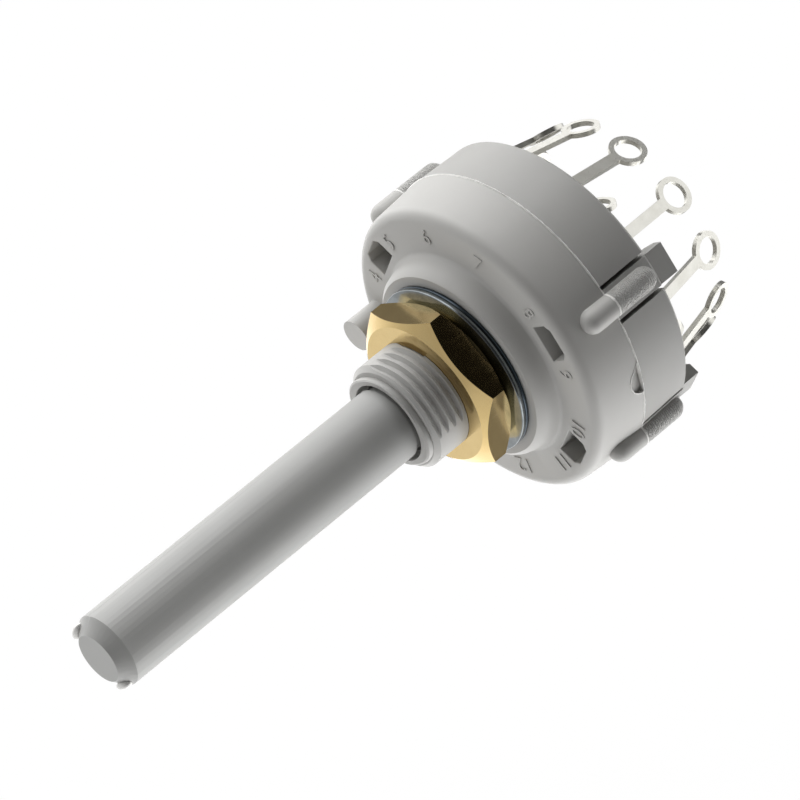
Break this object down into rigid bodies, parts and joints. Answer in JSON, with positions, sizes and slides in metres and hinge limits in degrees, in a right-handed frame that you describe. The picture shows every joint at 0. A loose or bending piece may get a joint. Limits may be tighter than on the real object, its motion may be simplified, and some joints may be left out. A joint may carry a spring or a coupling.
{
  "type": "rotary switch",
  "caption": "Panel rotary switch with a long plastic shaft, threaded bush, hexagon nut and washers, round moulded housing and a ring of solder lugs behind.",
  "frame": {"origin": "on the shaft's axis, in the front face of the collar that seats against a panel", "axes": "-Y along the shaft towards its tip, +Z to the seventh position, +X to the tenth position"},
  "size_m": [0.0278, 0.0594, 0.0268],
  "materials": {
    "grey_plastic": "moulded light grey, fine matt surface",
    "shaft_plastic": "moulded light grey, satin",
    "stator_plastic": "moulded grey, matt",
    "nut_brass": "turned brass",
    "zinc_plate": "bright zinc plated steel",
    "stop_zinc_plate": "zinc plated steel, blue passivated",
    "ball_steel": "polished bearing steel",
    "spring_steel": "drawn spring wire",
    "contact_silver": "silver plated strip",
    "tinned_brass": "tin plated brass strip"
  },
  "bodies": {
    "housing": {"housing": "grey_plastic", "stator": "stator_plastic", "hex_nut": "nut_brass", "plain_washer": "zinc_plate", "stop_washer": "stop_zinc_plate", "common_terminal": "tinned_brass", "terminal_01": "tinned_brass", "terminal_02": "tinned_brass", "terminal_03": "tinned_brass", "terminal_04": "tinned_brass", "terminal_05": "tinned_brass", "terminal_06": "tinned_brass", "terminal_07": "tinned_brass", "terminal_08": "tinned_brass", "terminal_09": "tinned_brass", "terminal_10": "tinned_brass", "terminal_11": "tinned_brass", "terminal_12": "tinned_brass"},
    "rotor": {"spindle": "shaft_plastic", "detent_ball_right": "ball_steel", "detent_ball_left": "ball_steel", "detent_spring": "spring_steel", "moving_contact": "contact_silver", "contact_spring": "spring_steel"}
  },
  "joints": [
    {"name": "shaft_turn", "type": "hinge", "parent": "housing", "child": "rotor", "pos_m": [0, 0, 0], "axis": [0, 1, 0], "range_deg": [0, 330]}
  ]
}
